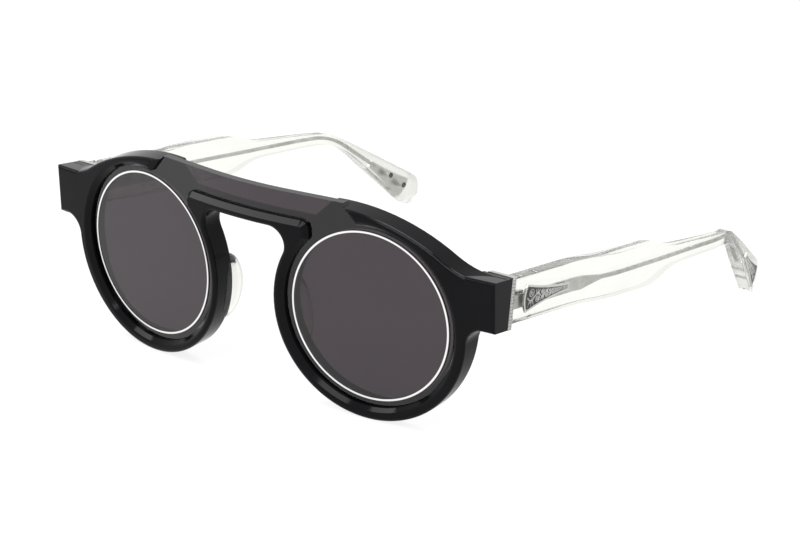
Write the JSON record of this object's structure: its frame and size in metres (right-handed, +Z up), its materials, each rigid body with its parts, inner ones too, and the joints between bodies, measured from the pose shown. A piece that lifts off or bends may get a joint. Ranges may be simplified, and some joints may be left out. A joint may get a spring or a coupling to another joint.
{
  "type": "round eyeglasses",
  "caption": "Round full-rim acetate eyeglasses with a one-piece tinted shield lens, inlaid lens rings and clear folding temples.",
  "frame": {"origin": "centre of the bottom of the bounding box, on the surface that the rims and temple tips rest on", "axes": "+Z up, -Y the way the wearer looks, +X to the wearer's left"},
  "size_m": [0.1456, 0.1554, 0.055],
  "materials": {
    "black_acetate": "polished glossy black",
    "tinted_lens": "smooth grey tint",
    "ring_metal": "bright polished",
    "clear_acetate": "polished clear",
    "silver_metal": "engraved antique silver",
    "core_metal": "matt grey"
  },
  "bodies": {
    "front": {"front_frame": "black_acetate", "lens_shield": "tinted_lens", "lens_ring_left": "ring_metal", "lens_ring_right": "ring_metal", "nose_pad_left": "clear_acetate", "nose_pad_right": "clear_acetate", "end_plate_left": "silver_metal", "end_plate_right": "silver_metal", "end_plate_pins_left": "silver_metal", "end_plate_pins_right": "silver_metal", "front_hinge_left": "silver_metal", "front_hinge_right": "silver_metal", "hinge_screw_left": "silver_metal", "hinge_screw_right": "silver_metal"},
    "left_temple": {"temple_left": "clear_acetate", "core_wire_left": "core_metal", "temple_hinge_left": "silver_metal", "hinge_plaque_left": "silver_metal", "hinge_plaque_rivets_left": "silver_metal", "tip_plaque_left": "silver_metal", "tip_rivets_left": "silver_metal"},
    "right_temple": {"temple_right": "clear_acetate", "core_wire_right": "core_metal", "temple_hinge_right": "silver_metal", "hinge_plaque_right": "silver_metal", "hinge_plaque_rivets_right": "silver_metal", "tip_plaque_right": "silver_metal", "tip_rivets_right": "silver_metal"}
  },
  "joints": [
    {"name": "left_fold", "type": "hinge", "parent": "front", "child": "left_temple", "pos_m": [0.065, -0.05952, 0.03614], "axis": [0, 0.0978, 0.9952], "range_deg": [0, 89]},
    {"name": "right_fold", "type": "hinge", "parent": "front", "child": "right_temple", "pos_m": [-0.065, -0.05952, 0.03614], "axis": [0, -0.0978, -0.9952], "range_deg": [0, 72]}
  ]
}
